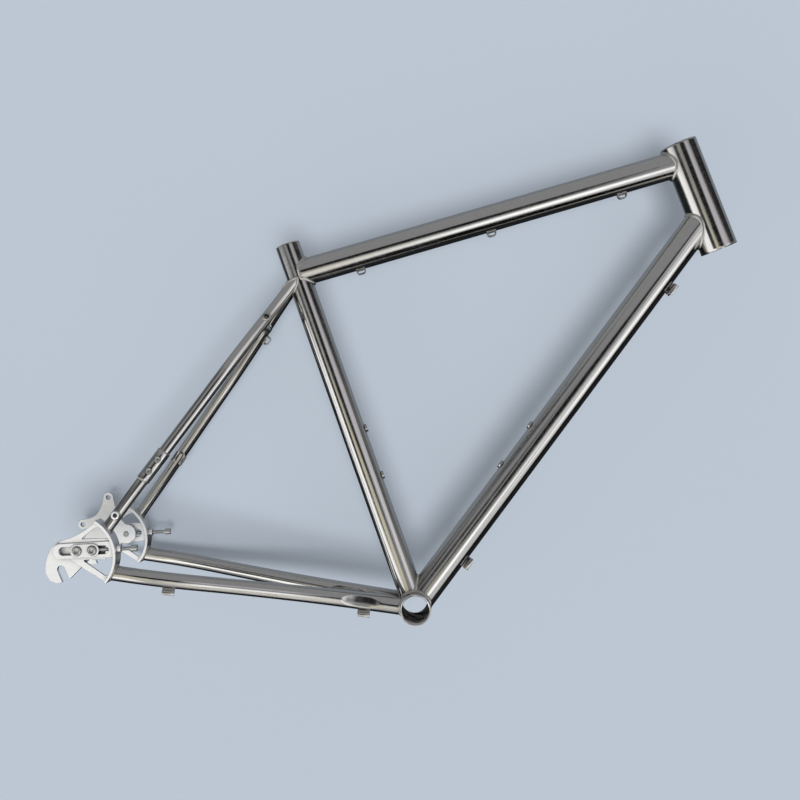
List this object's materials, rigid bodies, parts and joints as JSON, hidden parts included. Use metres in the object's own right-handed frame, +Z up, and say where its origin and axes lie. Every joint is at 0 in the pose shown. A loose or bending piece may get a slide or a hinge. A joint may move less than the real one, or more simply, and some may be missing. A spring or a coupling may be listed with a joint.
{
  "type": "bicycle frame",
  "caption": "Hardtail bicycle frame of round welded tubes, with sliding dropouts, a disc brake mount and a bolted splitter in the right seat stay for a belt drive.",
  "frame": {"origin": "middle of the underside of the bounding box, 20 mm below the centre of the bottom bracket shell and 9 mm behind it", "axes": "+X forward to the head tube, +Y to the rider's left, +Z up"},
  "size_m": [0.8928, 0.179, 0.6106],
  "materials": {
    "titanium": "brushed bare titanium with a satin shine, and small bright weld beads",
    "machined": "machined and bead-blasted pale metal",
    "steel": "bright stainless steel bolts"
  },
  "bodies": {
    "frame": {"adjuster_nut_left": "machined", "adjuster_nut_right": "machined", "bb_shell": "titanium", "bottle_boss_down_lower": "titanium", "bottle_boss_down_upper": "titanium", "bottle_boss_seat_lower": "titanium", "bottle_boss_seat_upper": "titanium", "cable_guide_chainstay_front": "titanium", "cable_guide_chainstay_rear": "titanium", "cable_guide_down_lower": "titanium", "cable_guide_down_upper": "titanium", "chainstay_bridge": "titanium", "chainstay_left": "titanium", "chainstay_right": "titanium", "down_tube": "titanium", "dropout_left": "machined", "dropout_right": "machined", "fender_eyelet_left": "machined", "fender_eyelet_right": "machined", "head_tube": "titanium", "hose_guide_seatstay": "titanium", "hose_loop_front": "titanium", "hose_loop_middle": "titanium", "hose_loop_rear": "titanium", "hose_loop_seatstay": "titanium", "rack_boss_left": "titanium", "rack_boss_right": "titanium", "seat_tube": "titanium", "seatstay_bridge": "titanium", "seatstay_left": "titanium", "seatstay_right_lower": "titanium", "seatstay_right_upper": "titanium", "splitter_bolt_lower": "steel", "splitter_bolt_upper": "steel", "splitter_lower_half": "titanium", "splitter_upper_half": "titanium", "top_tube": "titanium"},
    "slider_right": {"slider_right": "machined", "clamp_plate_right": "machined", "slider_bolt_right_front": "steel", "slider_bolt_right_rear": "steel"},
    "slider_left": {"slider_left": "machined", "clamp_plate_left": "machined", "slider_bolt_left_front": "steel", "slider_bolt_left_rear": "steel"},
    "adjuster_right": {"adjuster_screw_right": "steel"},
    "adjuster_left": {"adjuster_screw_left": "steel"}
  },
  "joints": [
    {"name": "slider_right_slide", "type": "slide", "parent": "frame", "child": "slider_right", "axis": [1, 0, 0], "range_m": [-0.012, 0.01]},
    {"name": "slider_left_slide", "type": "slide", "parent": "frame", "child": "slider_left", "axis": [1, 0, 0], "range_m": [-0.012, 0.01]},
    {"name": "adjuster_right_turn", "type": "hinge", "parent": "slider_right", "child": "adjuster_right", "pos_m": [-0.33133, -0.0775, 0.12], "axis": [1, 0, 0], "range_deg": [-5400, 4500]},
    {"name": "adjuster_left_turn", "type": "hinge", "parent": "slider_left", "child": "adjuster_left", "pos_m": [-0.32633, 0.0775, 0.12], "axis": [1, 0, 0], "range_deg": [-5400, 4500]}
  ],
  "couplings": [
    {"joint": "adjuster_right_turn", "follows": "slider_right_slide", "rad_per_m": 7854},
    {"joint": "adjuster_left_turn", "follows": "slider_left_slide", "rad_per_m": 7854}
  ]
}
